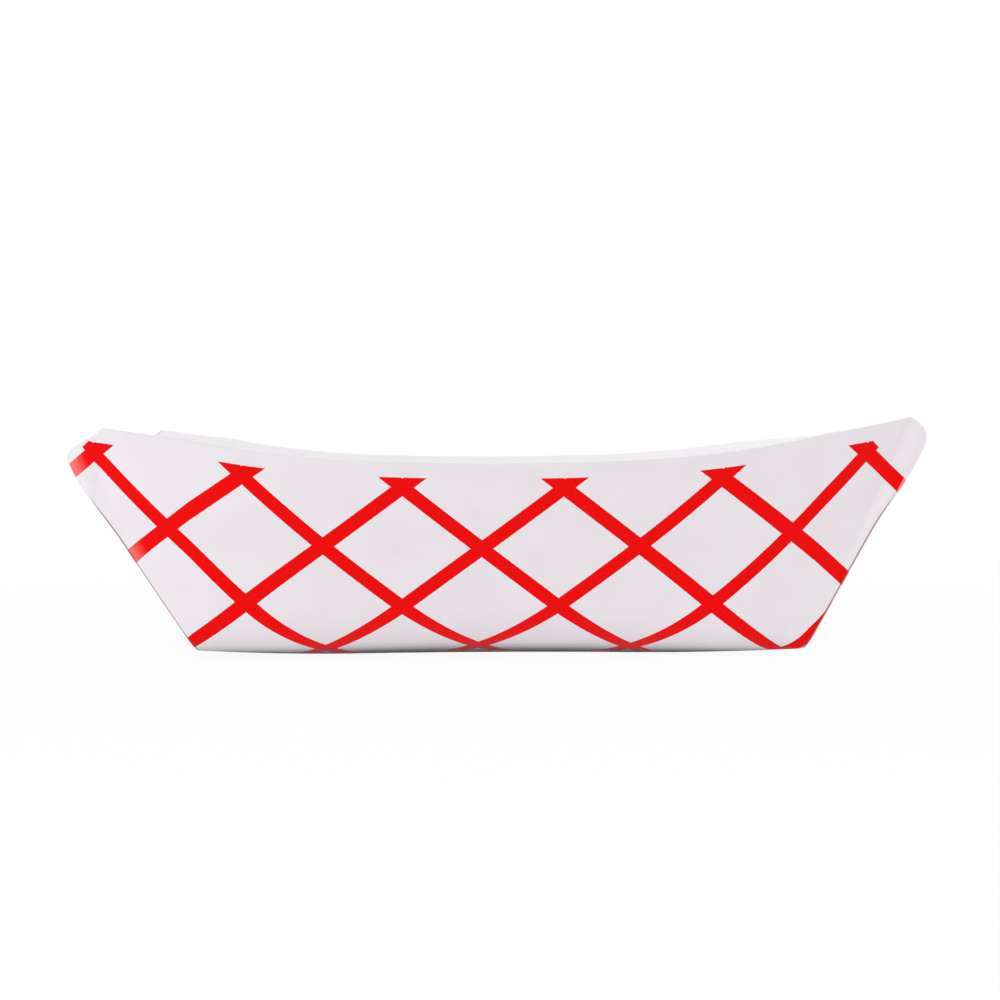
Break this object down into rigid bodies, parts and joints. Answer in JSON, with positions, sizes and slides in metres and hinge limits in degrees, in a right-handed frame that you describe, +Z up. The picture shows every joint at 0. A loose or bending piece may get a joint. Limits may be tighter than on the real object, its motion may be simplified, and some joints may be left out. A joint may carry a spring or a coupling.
{
  "type": "paper food tray",
  "caption": "Open boat-shaped food tray folded from one sheet of paperboard, with rolled long sides, creased ends, raised corners and a red diamond lattice print.",
  "frame": {"origin": "on the floor under the middle of the tray's overall box", "axes": "+X along the tray's length, +Y across it, +Z up out of the open top"},
  "size_m": [0.1892, 0.1428, 0.0541],
  "materials": {
    "printed_board": "smooth clay-coated white paperboard with a red diamond lattice printed on the outer face, plain inside"
  },
  "bodies": {
    "root": {"tray": "printed_board"}
  },
  "joints": []
}
